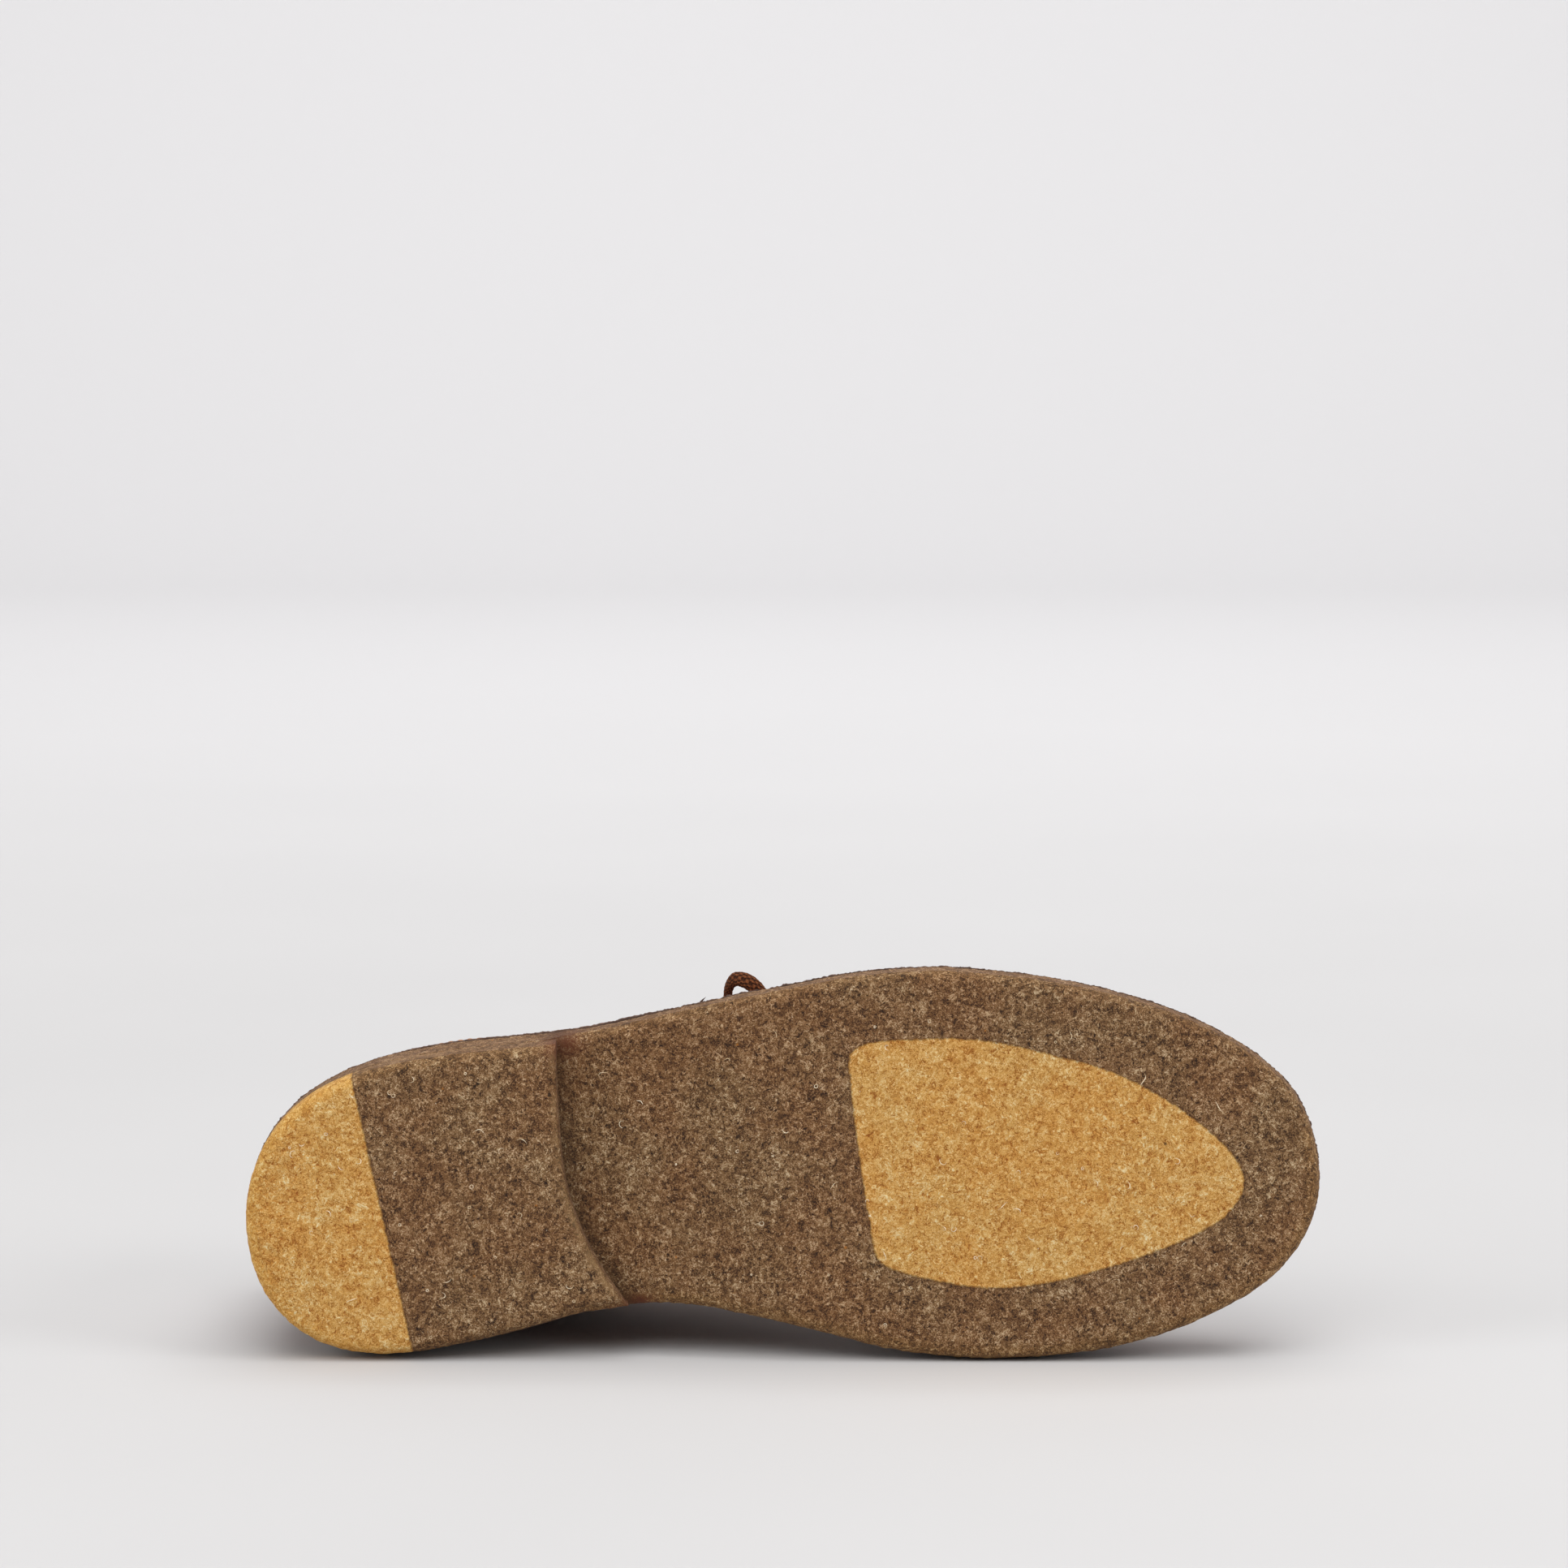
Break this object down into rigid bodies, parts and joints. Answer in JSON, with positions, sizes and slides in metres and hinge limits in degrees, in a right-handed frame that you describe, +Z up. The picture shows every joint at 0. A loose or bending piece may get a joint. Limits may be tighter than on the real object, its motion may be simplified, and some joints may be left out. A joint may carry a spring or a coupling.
{
  "type": "desert boot",
  "caption": "Ankle-high suede lace-up boot stitched down on a two-tone crepe rubber sole with a low heel, right foot, lying on its side.",
  "frame": {"origin": "bottom centre of the lying boot's box, on the floor", "axes": "+X from the heel to the toe, +Z up from the medial edge on the floor to the lateral edge, -Y out of the tread"},
  "size_m": [0.3038, 0.1351, 0.1102],
  "materials": {
    "crepe": "brown dyed natural crepe rubber, matt, with a natural honey patch",
    "crepe_heel": "natural honey crepe rubber, brown towards the waist, matt",
    "suede": "brown napped suede",
    "tongue_suede": "brown napped suede",
    "insole_board": "smooth tan leather sock",
    "eyelet_metal": "brown lacquered brass",
    "lace": "braided rust-brown waxed cotton"
  },
  "bodies": {
    "root": {"outsole": "crepe", "heel": "crepe_heel", "upper": "suede", "tongue": "tongue_suede", "insole": "insole_board", "eyelet_lower_lateral": "eyelet_metal", "eyelet_lower_medial": "eyelet_metal", "eyelet_upper_lateral": "eyelet_metal", "eyelet_upper_medial": "eyelet_metal", "lace_bars": "lace", "lace_knot": "lace", "lace_loop_lateral": "lace", "lace_loop_medial": "lace", "lace_end_lateral": "lace", "lace_end_medial": "lace"}
  },
  "joints": []
}
